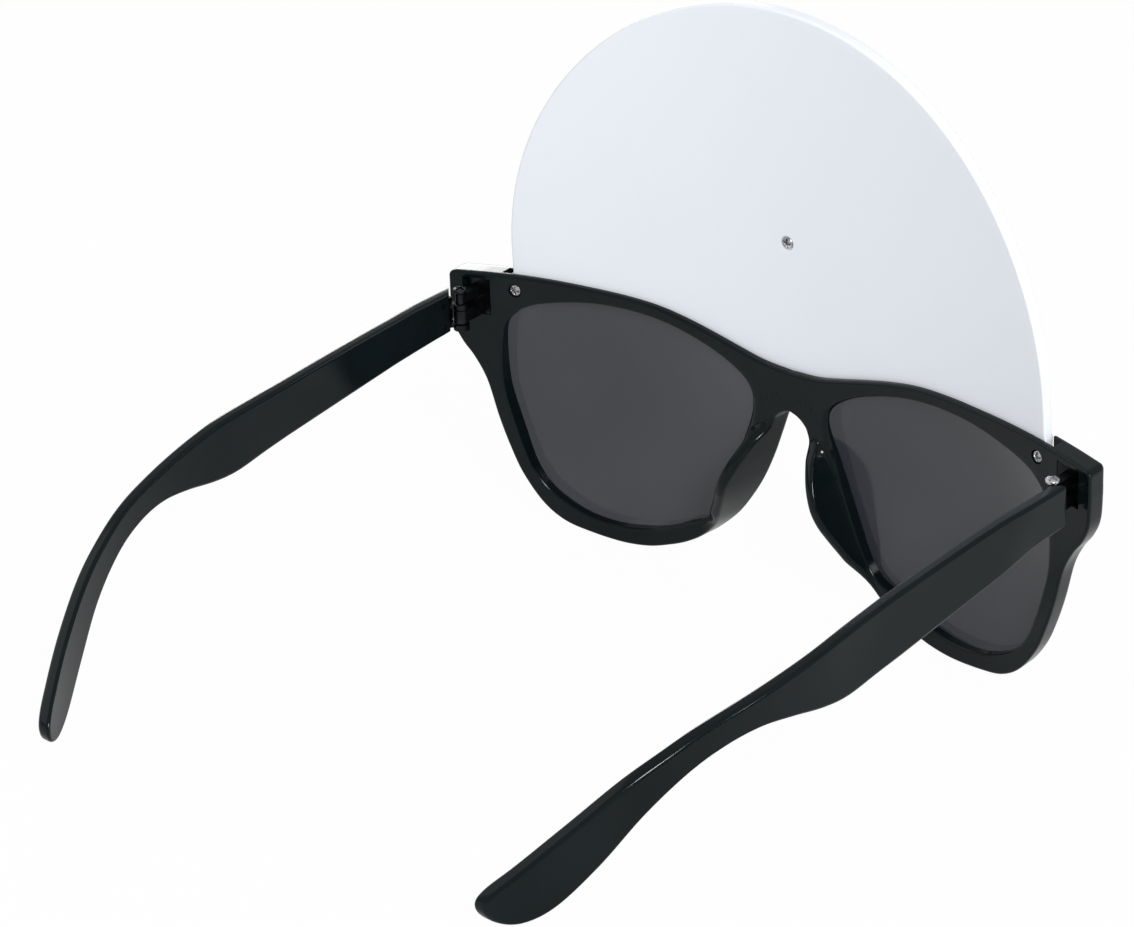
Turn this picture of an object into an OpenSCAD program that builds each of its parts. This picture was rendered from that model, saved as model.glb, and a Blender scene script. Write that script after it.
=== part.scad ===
// Party glasses: a bowed front with tinted lenses, a domed plate and two folding temples.
// Millimetres. X runs across the face, Y forward, Z up. They stand on rims and temple tips.

/* [Front] */
// Half of the front's width, from the middle to the side of an end block
half_width = 73.5; // [70:0.5:77]
// Depth of the rims below the top of the end blocks
rim_depth = 51.9; // [49:0.1:54]
// How far the middle of the front stands ahead of its ends
front_bow = 10.7; // [8:0.1:13]
// Thickness of the front
front_thick = 5; // [4.8:0.1:5.6]

/* [Lenses] */
// Thickness of a lens
lens_thick = 1.6; // [1.2:0.1:1.7]
// How far the rear face of a lens lies ahead of the front's rear surface, at its sides
lens_set = 2.5; // [2.2:0.1:2.7]
// Radius of the curve of a lens, whose middle bulges forward
lens_curve = 90; // [86:1:100]
// How deep the edge of a lens sits in its groove
lens_bite = 0.7; // [0.4:0.05:0.8]

/* [Plate] */
// Radius of the plate's dome
dome_radius = 61; // [59.5:0.25:61.5]
// Height of the dome's centre above the top of the end blocks
dome_centre = 5.2; // [4:0.1:7]
// Thickness of the plate
plate_thick = 2.4; // [2:0.1:2.6]
// Thickness of the front that is left behind the plate
plate_web = 1.2; // [1.1:0.05:1.4]
// How far the plate leans back, in degrees
plate_lean = 2.6; // [1:0.1:3.2]
// How far the plate's lower edge reaches below the top edge of the front
plate_lap = 0.7; // [0.5:0.05:0.8]
// Height of the middle screw above the top of the end blocks
button_height = 20.3; // [14:0.1:30]
// Radius of the plain button on the front of the plate
button_radius = 7; // [5:0.5:9]

/* [Nose] */
// How far the nose pads open towards the rear, in degrees
pad_flare = 10; // [8:0.5:13]
// Thickness of a nose pad
pad_thick = 2.2; // [1.8:0.1:2.4]
// How far back the ridge of a pad stands, measured from the middle of the front
pad_reach = 7; // [5.5:0.1:8]

/* [Hinges] */
// Distance of the hinge axis behind the ends of the front
hinge_back = 3.1; // [2.8:0.1:3.6]
// Radius of the knuckles
knuckle_radius = 1.45; // [1.3:0.05:1.55]
// Radius of the hinge screw's shank
pin_radius = 0.6; // [0.5:0.05:0.7]
// Running gap between the shank and the temple's knuckles
pin_gap = 0.04; // [0.02:0.01:0.08]
// Radius of the heads of the plate screws
head_radius = 1.15; // [1:0.05:1.2]

/* [Temples] */
// Length of a temple from its rivets to its tip, measured straight back
temple_length = 122; // [114:1:130]
// Thickness of a temple
temple_thick = 2.5; // [2.4:0.1:2.8]
// Radius of the inward bend of the rear half
bend_radius = 118; // [105:1:140]
// How far the left temple spreads outwards as it stands, in degrees
left_spread = 3.3; // [0:0.1:4]
// How far the right temple leans inwards as it stands, in degrees
right_lean = 3.3; // [0:0.1:6]

/* [Hidden] */
$fn = 64;
kx = half_width / 73.5;
kz = rim_depth / 51.9;
kt = temple_length / 122;
bow_radius = (half_width * half_width + front_bow * front_bow) / (2 * front_bow);
bow_axis = front_bow - bow_radius;
fit_gap = 0.05;
groove = lens_bite + 0.1;
lens_x = 37.5 * kx;
lens_z = -25 * kz;
lens_rise = 25.8 * 25.8 * kx * kx * (0.5 / lens_curve - 0.5 / bow_radius);
plate_end = half_width - 12.4;
notch = 1.3;
tab_x = half_width - 13.6;
tab_z = -2.3;
tab_in = half_width - 15.8;
tab_low = -4.5;
pad_front = front_bow + front_thick;
hinge_x = half_width - 5.65;
bend_start = 55.3 * kt;
hinge_s = 3.95;
hinge_n = 3.1;
black = [0.14, 0.16, 0.165];
smoke = [0.3, 0.3, 0.33];
white = [0.93, 0.94, 0.96];
steel = [0.78, 0.78, 0.8];

// How far the rear surface stands forward at a distance x from the middle
function bow(x) = bow_axis + sqrt(bow_radius * bow_radius - x * x);

// A point between b and c on a smooth curve through a, b, c and d
function between(a, b, c, d, t) = 0.5 * (2 * b + (c - a) * t
    + (2 * a - 5 * b + 4 * c - d) * t * t + (3 * b - a - 3 * c + d) * t * t * t);

// A smooth closed curve through the points p, with n steps from each to the next
function loop(p, n) = [for (i = [0:len(p) - 1]) for (k = [0:n - 1])
    between(p[(i + len(p) - 1) % len(p)], p[i], p[(i + 1) % len(p)], p[(i + 2) % len(p)], k / n)];

// A smooth open curve through p, without its first point and its last two
function curve(p, n) = [for (i = [1:len(p) - 3]) for (k = [0:n - 1])
    between(p[i - 1], p[i], p[i + 1], p[i + 2], k / n)];

// The unit vector across the line from a to b, to its right
function across(a, b) = [b[1] - a[1], a[0] - b[0]] / norm(b - a);

// A closed curve moved by d to the right of its way
function grown(p, d) = [for (i = [0:len(p) - 1])
    p[i] + d * across(p[(i + len(p) - 1) % len(p)], p[(i + 1) % len(p)])];

function scaled(p, u, v) = [for (q = p) [q[0] * u, q[1] * v]];
function mirrored(p) = [for (i = [len(p) - 1:-1:0]) [-p[i][0], p[i][1]]];

// The top edge of the front, right of the middle, with one point beyond each end
top_points = scaled([[-6, -5.2], [0, -5.6], [6, -5.2], [11, -4.1], [18, -2.2], [24, -0.7],
    [30, 0.4], [37, 0.9], [45, 1], [53, 1], [60, 0.8], [67, 0.4]], kx, kz);
top_edge = curve(top_points, 3);

// The side and the bottom of the right rim, from the end block round to the nose
side_points = scaled([[73.5, 0], [73.5, -6], [73.1, -11], [71.5, -14.6], [69, -18], [66.7, -22.5],
    [64.6, -30], [62.5, -36], [60, -41.5], [56, -46.9], [51.5, -50], [46, -51.3], [39, -51.9],
    [33, -51.3], [27.5, -49.3], [22, -46.8], [17, -44]], kx, kz);
side_edge = curve(side_points, 4);

// The right lens opening, anticlockwise from its outer side
opening_points = scaled([[62.6, -25.5], [63.2, -21], [63.1, -15.2], [62.3, -10], [60.5, -7.4],
    [57.6, -5.3], [52.5, -3.6], [44, -2], [35, -1.7], [26.5, -2.7], [18, -5.2], [12.3, -8.1],
    [9.3, -11.2], [8.9, -15], [10.3, -20], [12.4, -26.5], [15.1, -33.5], [17.6, -38.8],
    [20.5, -42.3], [24.5, -44.2], [29, -46.4], [34, -47.7], [40, -48.4], [46, -47.8],
    [51, -45.9], [55.2, -43], [58.2, -38.8], [60.6, -32.5]], kx, kz);
opening = loop(opening_points, 3);

// The nose side of the right rim at the front, from the arch down
nose_points = scaled([[-2, -13.9], [0, -13.7], [1.6, -14.4], [2.8, -16], [4.4, -20.5], [6.4, -26],
    [8.8, -31.4], [11.6, -36.2], [15.1, -41], [19.8, -45.5], [24.6, -49.5], [26.6, -52]], kx, kz);
nose_edge = scaled(curve(nose_points, 3), cos(pad_flare), 1);
nose_floor = -rim_depth - 3;

// The ridge of a pad, as distance forward and height
ridge_points = [[front_bow + 1.5, -14 * kz], [front_bow + 0.4, -16 * kz],
    [front_bow - 0.18 * pad_reach, -18 * kz], [front_bow - 0.48 * pad_reach, -20 * kz],
    [front_bow - 0.69 * pad_reach, -22 * kz], [front_bow - 0.9 * pad_reach, -25 * kz],
    [front_bow - pad_reach, -28.5 * kz], [front_bow - 0.95 * pad_reach, -31.5 * kz],
    [front_bow - 0.81 * pad_reach, -34 * kz], [front_bow - 0.56 * pad_reach, -38 * kz],
    [front_bow - 0.33 * pad_reach, -42 * kz], [front_bow - 0.14 * pad_reach, -45.5 * kz],
    [front_bow + 0.3, -49 * kz], [front_bow + 1, -52 * kz]];
ridge = curve(ridge_points, 4);

// A temple seen from its outer side: distance rearward and height
blade_top_points = [[-14, -1.7], [-4.05, -1.7], [12, -2.1], [33, -3.5], [54, -5.4], [64, -6.9],
    [76, -9.1], [85, -11.1], [92, -13.6], [100, -17.3], [109, -23.3], [116, -28.6], [120.6, -32.3],
    [122, -35], [120.6, -37.6], [117, -38.8], [112, -37], [105, -31.2], [97, -23.6], [89, -18.3],
    [82, -15.8], [75, -15], [68, -15.8], [61, -17.1], [55, -17.4], [47, -16.2], [36, -14.7],
    [15, -11.9], [4, -10.4], [-4.05, -9.9], [-14, -9.3]];
blade_edge = curve(blade_top_points, 3);

// At rest both temple tips and both rims touch the ground
tip_s = 117 * kt + hinge_s;
rest_tilt = atan2(rim_depth - 38.8, bow(38 * kx) + hinge_back + tip_s * cos(3.3));
lift = rim_depth * cos(rest_tilt) - bow(38 * kx) * sin(rest_tilt) + 0.12;
middle_y = -53.3;

// Stands the glasses on the ground, from the frame in which the front is upright
module place() {
    translate([0, -middle_y, lift]) rotate([rest_tilt, 0, 0]) children();
}

module left_side() {
    mirror([1, 0, 0]) children();
}

module both() {
    children();
    mirror([1, 0, 0]) children();
}

// The part of an outline that lies from a to b ahead of the bowed rear surface
module bowed(a, b) {
    intersection() {
        translate([0, bow_axis, -80]) difference() {
            cylinder(r = bow_radius + b, h = 180, $fn = 240);
            translate([0, 0, -1]) cylinder(r = bow_radius + a, h = 182, $fn = 240);
        }
        translate([0, 40, 0]) rotate([90, 0, 0]) linear_extrude(height = 60) children();
    }
}

// The plate's own frame, leaning back
module leaned() {
    translate([0, 6, 0]) rotate([plate_lean, 0, 0]) translate([0, -6, 0]) children();
}

// Puts children on the bowed surface at x and z, with +Z pointing forward out of it
module on_bow(x, z, depth) {
    translate([0, bow_axis, z]) rotate([0, 0, -asin(x / bow_radius)])
        translate([0, bow_radius + depth, 0]) rotate([-90, 0, 0]) children();
}

module frame_outline() {
    polygon(concat(mirrored([for (i = [1:len(top_edge) - 1]) top_edge[i]]), top_edge,
        [[half_width, 0]], side_edge, [[22 * kx, -47 * kz], [0, -47 * kz],
        [-22 * kx, -47 * kz]], mirrored(side_edge), [[-half_width, 0]]));
}

// The plate's outline, grown by g: a dome, a lower edge that follows the front, and two tabs
module plate_outline(g) {
    dome = [for (a = [-1.5:3:181.5]) [0, dome_centre] + (dome_radius + g) * [cos(a), sin(a)]];
    low = [for (q = top_edge) if (q[0] < tab_in - 1) [q[0], q[1] - plate_lap - g]];
    tab = [[tab_in - g, 0.1 - g], [tab_in - g, tab_low + 1], [tab_in + 1 - g, tab_low - g],
        [plate_end - 1 + g, tab_low - g], [plate_end + g, tab_low + 1], [plate_end + g, 0.5]];
    polygon(concat(dome, mirrored(tab), mirrored([for (i = [1:len(low) - 1]) low[i]]), low, tab));
}

// The short slot past the plate's right end
module plate_notch() {
    polygon([[plate_end - 1, 3], [plate_end - 1, -2.5], [plate_end + notch, -2.5],
        [plate_end + notch, 3]]);
}

// A right nose surface frame: it opens outwards towards the rear
module flared() {
    translate([0, pad_front, 0]) rotate([0, 0, pad_flare]) translate([0, 10, 0])
        rotate([90, 0, 0]) linear_extrude(height = 50) children();
}

module nose_cut() {
    flared() polygon(concat([[-6, nose_floor], [-6, -13.4 * kz]], nose_edge,
        [[25.5 * kx, nose_floor]]));
}

module pad() {
    intersection() {
        flared() polygon(concat([for (i = [3:len(nose_edge) - 1]) nose_edge[i] - [0.4, 0]],
            [for (i = [len(nose_edge) - 1:-1:3]) nose_edge[i] + pad_thick * [0.92, 0.4]]));
        rotate([90, 0, 90]) linear_extrude(height = 40)
            polygon(concat(ridge, [[front_bow + 0.8, -49 * kz], [front_bow + 0.8, -16 * kz]]));
    }
}

module hinge_pocket() {
    translate([hinge_x - 2.75, -10, -8.3]) cube([5.6, 10 + bow(hinge_x) + 1.35, 7.4]);
}

module front_frame() {
    color(black) place() difference() {
        union() {
            difference() {
                bowed(0, front_thick) frame_outline();
                both() bowed(-2, front_thick + 2) polygon(opening);
                both() lens_shell(fit_gap, groove);
                leaned() bowed(plate_web - fit_gap, 14) plate_outline(0.1);
                both() leaned() bowed(plate_web - fit_gap, plate_web + plate_thick + fit_gap)
                    plate_notch();
            }
            both() pad();
        }
        both() nose_cut();
        both() hinge_pocket();
        both() on_bow(tab_x, tab_z, -2) cylinder(r = 0.7, h = 6);
        both() on_bow(tab_x, tab_z, -2) cylinder(r = head_radius + 0.2, h = 2.5);
    }
}

// The right lens, thicker by gap on both faces and wider by edge than its opening
module lens_shell(gap, edge) {
    intersection() {
        on_bow(lens_x, lens_z, lens_set + lens_rise - lens_curve) difference() {
            sphere(r = lens_curve + lens_thick + gap, $fn = 180);
            sphere(r = lens_curve - gap, $fn = 180);
        }
        translate([0, 30, 0]) rotate([90, 0, 0]) linear_extrude(height = 50)
            polygon(grown(opening, edge));
    }
}

module right_lens() {
    color(smoke) place() lens_shell(0, lens_bite);
}

module left_lens() {
    color(smoke) place() left_side() lens_shell(0, lens_bite);
}

module dome_plate() {
    color(white) place() difference() {
        leaned() bowed(plate_web, plate_web + plate_thick) plate_outline(0);
        both() on_bow(tab_x, tab_z, 0) cylinder(r = 0.62, h = 6);
        leaned() on_bow(0, button_height, 0) cylinder(r = 0.8, h = 6);
        leaned() on_bow(0, button_height, 0) cylinder(r = head_radius + 0.25, h = plate_web + 0.5);
    }
}

// A cross-head screw along +Z: its head from 0, its shank to the given length
module screw(head_r, head_h, shank_r, length) {
    difference() {
        union() {
            cylinder(r = head_r, h = head_h);
            cylinder(r = shank_r, h = length);
        }
        for (a = [0, 90]) rotate([0, 0, a])
            translate([-0.65 * head_r, -0.14, -1]) cube([1.3 * head_r, 0.28, 1.25]);
    }
}

module plate_screw() {
    on_bow(tab_x, tab_z, 0.05) screw(head_radius, 0.4, 0.6, plate_web + plate_thick);
}

module right_plate_screw() {
    color(steel) place() plate_screw();
}

module left_plate_screw() {
    color(steel) place() left_side() plate_screw();
}

module centre_screw() {
    color(steel) place() leaned() on_bow(0, button_height, plate_web + 0.05)
        screw(head_radius, 0.4, 0.6, plate_thick + 2.1);
}

module centre_button() {
    color(white) place() leaned() difference() {
        translate([0, front_bow, button_height]) rotate([-90, 0, 0]) intersection() {
            cylinder(r = button_radius, h = plate_web + plate_thick + 3);
            translate([0, 0, plate_web + plate_thick + 3 - 14]) sphere(r = 14, $fn = 96);
        }
        translate([0, bow_axis, button_height - 20])
            cylinder(r = bow_radius + plate_web + plate_thick + 0.02, h = 40, $fn = 240);
        on_bow(0, button_height, 0) cylinder(r = 0.62, h = plate_web + plate_thick + 2.4);
    }
}

// The frame's hinge half: a foot in the pocket and two knuckles with their arms
module frame_hinge() {
    face = bow(hinge_x) + 1.3;
    difference() {
        union() {
            translate([hinge_x - 2.6, face - 0.6, -8.2]) cube([5.3, 0.6, 7.1]);
            translate([hinge_x - 1.2, -hinge_back, -8.2])
                cube([2.4, face + hinge_back - 0.3, 2.6]);
            translate([hinge_x - 0.95, -hinge_back, -4.3])
                cube([1.9, face + hinge_back - 0.3, 2]);
            translate([hinge_x, -hinge_back, -8.2]) cylinder(r = knuckle_radius, h = 2.6);
            translate([hinge_x, -hinge_back, -4.3]) cylinder(r = 0.95, h = 2);
        }
        translate([hinge_x, -hinge_back, -9]) cylinder(r = pin_radius + 0.02, h = 8);
    }
}

module right_frame_hinge() {
    color(steel) place() frame_hinge();
}

module left_frame_hinge() {
    color(steel) place() left_side() frame_hinge();
}

module hinge_screw() {
    translate([hinge_x, -hinge_back, -1.4]) rotate([180, 0, 0])
        screw(1.35, 0.88, pin_radius, 8.45);
}

module right_hinge_screw() {
    color(steel) place() hinge_screw();
}

module left_hinge_screw() {
    color(steel) place() left_side() hinge_screw();
}

// A right temple's own frame: +X outward from its outer face, -Y rearward from its rivets
module temple_frame(turn) {
    translate([hinge_x, -hinge_back, 0]) rotate([0, 0, turn])
        translate([hinge_n, -hinge_s, 0]) children();
}

// The temple half's two arms, grown by g, from their knuckles to the plate in the temple
module hinge_arms(g) {
    for (z = [-9.3, -5.4]) translate([-hinge_n, hinge_s, z - g]) rotate([0, 0, -35])
        translate([-0.75 - g, -0.75 - g, 0]) cube([2.6 + 2 * g, 1.5 + 2 * g, 1 + 2 * g]);
}

module temple_hinge() {
    difference() {
        union() {
            translate([-2, -4.8, -9.3]) cube([1.1, 7.6, 6.3]);
            hinge_arms(0);
            translate([-hinge_n, hinge_s, -5.4]) cylinder(r = knuckle_radius, h = 1);
            translate([-hinge_n, hinge_s, -9.8]) cylinder(r = knuckle_radius + 0.1, h = 1.2);
        }
        translate([-hinge_n, hinge_s, -11]) cylinder(r = pin_radius + pin_gap, h = 10);
        for (z = [-3.9, -8.3]) translate([-3, 0, z]) rotate([0, 90, 0])
            cylinder(r = 0.52, h = 3);
    }
}

// A point of the bent rear half, seen from above, at a distance in from the outer face
function bent(a, inset) = [(bend_radius - inset) * cos(a) - bend_radius,
    (bend_radius - inset) * sin(-a) - bend_start];

// The slab that a temple is cut from: straight, then bent inward
module temple_slab() {
    translate([0, 0, -60]) linear_extrude(height = 70)
        polygon(concat([[-temple_thick, 10], [0, 10]],
            [for (a = [0:2:44]) bent(a, 0)],
            [for (a = [44:-2:0]) bent(a, temple_thick)]));
}

module temple() {
    difference() {
        intersection() {
            temple_slab();
            translate([-60, 0, 0]) rotate([90, 0, 90]) linear_extrude(height = 70)
                polygon([for (q = blade_edge) [q[0] < 15 ? -q[0] : -15 - (q[0] - 15)
                    * (temple_length - 15) / 107, q[1]]]);
        }
        // the mitred front end
        translate([0, 4, -30]) rotate([0, 0, 46]) translate([-12, 0, 0]) cube([14, 8, 40]);
        translate([-2.05, -4.9, -9.35]) cube([1.2, 20, 6.4]);
        hinge_arms(0.1);
        for (z = [-3.9, -8.3]) translate([-temple_thick - 1, 0, z]) rotate([0, 90, 0])
            cylinder(r = 0.52, h = temple_thick + 0.5);
    }
}

module right_temple_hinge() {
    color(steel) place() temple_frame(-right_lean) temple_hinge();
}

module left_temple_hinge() {
    color(steel) place() left_side() temple_frame(left_spread) temple_hinge();
}

module right_temple() {
    color(black) place() temple_frame(-right_lean) temple();
}

module left_temple() {
    color(black) place() left_side() temple_frame(left_spread) temple();
}

module rivet(z) {
    translate([-temple_thick + 0.05, 0, z]) rotate([0, 90, 0])
        cylinder(r = 0.5, h = temple_thick - 0.6);
}

module right_upper_rivet() {
    color(steel) place() temple_frame(-right_lean) rivet(-3.9);
}

module right_lower_rivet() {
    color(steel) place() temple_frame(-right_lean) rivet(-8.3);
}

module left_upper_rivet() {
    color(steel) place() left_side() temple_frame(left_spread) rivet(-3.9);
}

module left_lower_rivet() {
    color(steel) place() left_side() temple_frame(left_spread) rivet(-8.3);
}

front_frame();
left_lens();
right_lens();
dome_plate();
left_plate_screw();
right_plate_screw();
centre_screw();
centre_button();
left_frame_hinge();
right_frame_hinge();
left_temple_hinge();
right_temple_hinge();
left_hinge_screw();
right_hinge_screw();
left_temple();
right_temple();
left_upper_rivet();
left_lower_rivet();
right_upper_rivet();
right_lower_rivet();
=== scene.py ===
"""Party glasses seen from behind: a bowed black front, smoke lenses, a white domed plate and folding temples.

The glasses' own frame is used throughout: x across the face, y forward, z up, in millimetres, with the
origin level with the top of the end blocks. Glasses.place() stands that frame on the ground, in metres.
"""

import logging
import math
from dataclasses import dataclass
from enum import Enum
from typing import Optional, Sequence, Union

import bmesh
import bpy
import numpy as np
from mathutils import Matrix, Vector


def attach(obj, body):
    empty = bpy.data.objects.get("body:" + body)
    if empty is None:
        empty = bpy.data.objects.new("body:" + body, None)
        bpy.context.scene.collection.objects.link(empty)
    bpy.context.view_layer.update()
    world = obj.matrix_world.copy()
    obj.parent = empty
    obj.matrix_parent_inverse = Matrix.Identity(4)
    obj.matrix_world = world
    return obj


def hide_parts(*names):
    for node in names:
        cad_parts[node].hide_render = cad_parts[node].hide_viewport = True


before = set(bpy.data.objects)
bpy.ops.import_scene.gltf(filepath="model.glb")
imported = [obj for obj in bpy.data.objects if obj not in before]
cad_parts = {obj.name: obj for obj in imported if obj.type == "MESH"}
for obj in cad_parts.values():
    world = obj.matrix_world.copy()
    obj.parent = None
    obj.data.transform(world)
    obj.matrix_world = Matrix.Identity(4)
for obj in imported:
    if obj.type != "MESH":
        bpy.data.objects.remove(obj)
LOG = logging.getLogger("glasses")
MM = 0.001
Grid = np.ndarray
Points = Sequence[Sequence[float]]


class Side(Enum):
    """The wearer's two sides, with the sign of x on each."""

    LEFT = -1
    RIGHT = 1

    @property
    def word(self) -> str:
        """The side's name as the pieces use it."""
        return self.name.lower()


# Curves and surfaces


def spline(points: Points, steps: int, closed: bool = False) -> Grid:
    """Carries a smooth curve through points.

    Between b and c, with a before and d after them, it is the cubic whose ends lean along c - a and d - b.

    Args:
        points: the points that the curve goes through.
        steps: how many points it has from each given point to the next.
        closed: whether the last point leads back to the first.

    Returns:
        The curve's points, one row each.
    """
    p = np.asarray(points, float)
    if closed:
        p = np.vstack([p[-1:], p, p[:2]])
    else:
        p = np.vstack([2 * p[0] - p[1], p, 2 * p[-1] - p[-2]])
    a, b, c, d = (p[i:len(p) - 3 + i, None] for i in range(4))
    t = np.linspace(0, 1, steps, endpoint=False)[None, :, None]
    q = 0.5 * (2 * b + (c - a) * t + (2 * a - 5 * b + 4 * c - d) * t**2 + (3 * b - a - 3 * c + d) * t**3)
    q = q.reshape(-1, p.shape[1])
    return q if closed else np.vstack([q, p[-2:-1]])


def paced(path: Grid, anchors: Points, counts: Sequence[int], closed: bool = False) -> Grid:
    """Spaces points evenly along a path between the places nearest to its anchors.

    Args:
        path: a dense path.
        anchors: points near the path, in its order.
        counts: how many points to place from each anchor to the next.
        closed: whether the path runs back to the first anchor.

    Returns:
        The spaced points; an open path ends with the last anchor's place.
    """
    marks = np.asarray(anchors, float)
    near = np.argmin(np.linalg.norm(path[None] - marks[:, None], axis=2), axis=1)
    if closed:
        path = np.roll(path, -near[0], axis=0)
        near = (near - near[0]) % len(path)
        near = np.append(near, len(path))
        path = np.vstack([path, path[:1]])
    run = np.append(0, np.cumsum(np.linalg.norm(np.diff(path, axis=0), axis=1)))
    total = np.append(0, np.cumsum(counts))
    at = np.interp(np.arange(total[-1] + (0 if closed else 1)), total, run[near])
    return np.stack([np.interp(at, run, path[:, k]) for k in range(path.shape[1])], axis=1)


def unit_normals(path: Grid) -> Grid:
    """A closed path's normals, a quarter turn left of the way from the point before to the one after."""
    way = np.roll(path, -1, axis=0) - np.roll(path, 1, axis=0)
    left = np.stack([-way[:, 1], way[:, 0]], axis=1)
    return left / np.linalg.norm(left, axis=1, keepdims=True)


@dataclass
class Section:
    """The cross-section of a slab with a rounded edge, drawn across from an inner line to an outer one.

    Each point lies a share of the way across, plus some millimetres along that way, at a depth.
    """

    share: Grid
    along: Grid
    depth: Grid

    @classmethod
    def slab(cls, low: float, high: float, r: float, arc: int = 5, flat: int = 4) -> "Section":
        """Runs out along the rear face, over both rounded edges and back along the front face.

        The rear edge lies r - r sin k short of the outer line and r - r cos k ahead of the rear face, with
        k from 0 to 90 degrees, and the front edge r - r cos k short of the line and r - r sin k behind the
        front face.

        Args:
            low: depth of the rear face.
            high: depth of the front face.
            r: rounding of both edges.
            arc: points in each rounding.
            flat: points across each face, without its ends.
        """
        k = np.linspace(0, math.pi / 2, arc)
        out = np.linspace(0, 1, flat + 2)[:-1]
        still = np.zeros_like(out)
        share = np.concatenate([out, np.ones(2 * arc), out[::-1]])
        along = np.concatenate([still, r * np.sin(k) - r, r * np.cos(k) - r, still])
        depth = np.concatenate([still + low, low + r - r * np.cos(k), high - r + r * np.sin(k), still + high])
        return cls(share, along, depth)

    def across(self, inner: Grid, outer: Grid) -> tuple[Grid, Grid]:
        """Lays the section from each inner point to its outer one, with its roundings no wider than the way.

        Args:
            inner: the inner line, a point in each row.
            outer: the outer line, with as many points.

        Returns:
            The places in the plane, as rows by section points by 2, and their depths.
        """
        way = outer - inner
        width = np.linalg.norm(way, axis=1, keepdims=True)
        unit = way / np.maximum(width, 1e-9)
        ease = np.minimum(1, width / (2.2 * np.abs(self.along).max() + 1e-9))
        plane = inner[:, None] + way[:, None] * self.share[None, :, None]
        plane = plane + unit[:, None] * (self.along[None, :] * ease)[..., None]
        return plane, np.broadcast_to(self.depth, plane.shape[:2])


class Shell:
    """Gathers grids of points and makes them one mesh object whose faces point outwards."""

    def __init__(self) -> None:
        """Starts with no grids."""
        self.points: list[Grid] = []
        self.faces: list[Grid] = []
        self.size = 0

    def add(self, points: Grid, wrap_rows: bool = False, wrap_columns: bool = False) -> "Shell":
        """Adds a grid of points, whose neighbours make four-sided faces.

        Args:
            points: rows by columns by 3, in metres.
            wrap_rows: whether the last row leads back to the first.
            wrap_columns: whether the last column leads back to the first.
        """
        rows, columns = points.shape[:2]
        index = np.arange(rows * columns).reshape(rows, columns) + self.size
        if wrap_rows:
            index = np.vstack([index, index[:1]])
        if wrap_columns:
            index = np.hstack([index, index[:, :1]])
        quads = np.stack([index[:-1, :-1], index[1:, :-1], index[1:, 1:], index[:-1, 1:]], axis=-1)
        self.points.append(points.reshape(-1, 3))
        self.faces.append(quads.reshape(-1, 4))
        self.size += rows * columns
        return self

    def build(self, name: str, merge: float = 2e-6, open_middle: bool = False) -> bpy.types.Object:
        """Makes the mesh object: merges what coincides, drops empty faces and turns the rest outwards.

        Args:
            name: the object's name.
            merge: how near two points are when they become one, in metres.
            open_middle: whether to leave out the faces in the plane x = 0, so that two halves are one inside.
        """
        points, faces = np.vstack(self.points), np.vstack(self.faces)
        if open_middle:
            faces = faces[np.abs(points[faces][..., 0]).max(axis=1) > 1e-7]
        mesh = bpy.data.meshes.new(name)
        mesh.from_pydata(points.tolist(), [], faces.tolist())
        work = bmesh.new()
        work.from_mesh(mesh)
        bmesh.ops.remove_doubles(work, verts=work.verts, dist=merge)
        bmesh.ops.dissolve_degenerate(work, edges=work.edges, dist=merge)
        bmesh.ops.holes_fill(work, edges=work.edges, sides=0)
        bmesh.ops.recalc_face_normals(work, faces=work.faces)
        work.to_mesh(mesh)
        work.free()
        mesh.shade_smooth()
        thing = bpy.data.objects.new(name, mesh)
        bpy.context.scene.collection.objects.link(thing)
        return thing


def wrapped(name: str, points: Grid) -> bpy.types.Object:
    """Makes a mesh object of one grid, whose last row leads back to the first."""
    return Shell().add(points, True).build(name)


def joined(name: str, things: Sequence[bpy.types.Object]) -> bpy.types.Object:
    """Joins mesh objects that lie in place into one object of that name."""
    work = bmesh.new()
    for thing in things:
        work.from_mesh(thing.data)
        bpy.data.objects.remove(thing)
    mesh = bpy.data.meshes.new(name)
    work.to_mesh(mesh)
    work.free()
    whole = bpy.data.objects.new(name, mesh)
    bpy.context.scene.collection.objects.link(whole)
    return whole


def carved(thing: bpy.types.Object, cutters: Sequence[bpy.types.Object]) -> bpy.types.Object:
    """Takes the cutters' spaces out of a mesh object, and removes the cutters."""
    for cutter in cutters:
        cut = thing.modifiers.new("cut", "BOOLEAN")
        cut.operation = "DIFFERENCE"
        cut.solver = "MANIFOLD"
        cut.object = cutter
    seen = thing.evaluated_get(bpy.context.evaluated_depsgraph_get())
    mesh = bpy.data.meshes.new_from_object(seen)
    thing.modifiers.clear()
    thing.data = mesh
    for cutter in cutters:
        bpy.data.objects.remove(cutter)
    return thing


def evened(thing: bpy.types.Object, degrees: float = 40) -> bpy.types.Object:
    """Shades a mesh smooth up to a sharp angle, and keeps flat faces flat by weighing normals by area."""
    thing.data.shade_smooth()
    thing.data.set_sharp_from_angle(angle=math.radians(degrees))
    weigh = thing.modifiers.new("flat", "WEIGHTED_NORMAL")
    weigh.keep_sharp = True
    weigh.weight = 60
    return thing


# Shader nodes


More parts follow.
